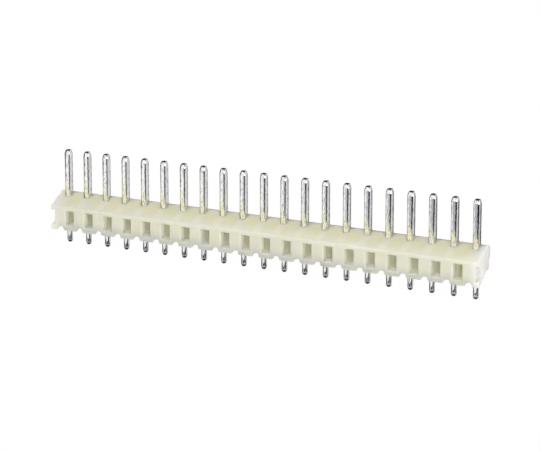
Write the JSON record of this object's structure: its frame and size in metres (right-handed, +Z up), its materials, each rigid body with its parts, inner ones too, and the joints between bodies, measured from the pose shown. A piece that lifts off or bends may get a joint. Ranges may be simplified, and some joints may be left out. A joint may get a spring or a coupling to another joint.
{
  "type": "pin header strip",
  "caption": "Board header strip: a row of square posts with round solder tails in a moulded nylon housing with a sloping top, cored pockets and stand-off feet.",
  "frame": {"origin": "the middle tail's axis at the upper face of the circuit board, where the feet stand", "axes": "+X along the row, towards the end that the picture shows nearer; +Z up along the posts, away from the board; -Y is the front, with the pockets and the foot of the sloping top"},
  "size_m": [0.083, 0.0044, 0.0168],
  "materials": {
    "nylon": "moulded, satin, slightly translucent",
    "tinned_brass": "bright tin plate"
  },
  "bodies": {
    "root": {"housing": "nylon", "pin_01": "tinned_brass", "pin_02": "tinned_brass", "pin_03": "tinned_brass", "pin_04": "tinned_brass", "pin_05": "tinned_brass", "pin_06": "tinned_brass", "pin_07": "tinned_brass", "pin_08": "tinned_brass", "pin_09": "tinned_brass", "pin_10": "tinned_brass", "pin_11": "tinned_brass", "pin_12": "tinned_brass", "pin_13": "tinned_brass", "pin_14": "tinned_brass", "pin_15": "tinned_brass", "pin_16": "tinned_brass", "pin_17": "tinned_brass", "pin_18": "tinned_brass", "pin_19": "tinned_brass", "pin_20": "tinned_brass", "pin_21": "tinned_brass"}
  },
  "joints": []
}
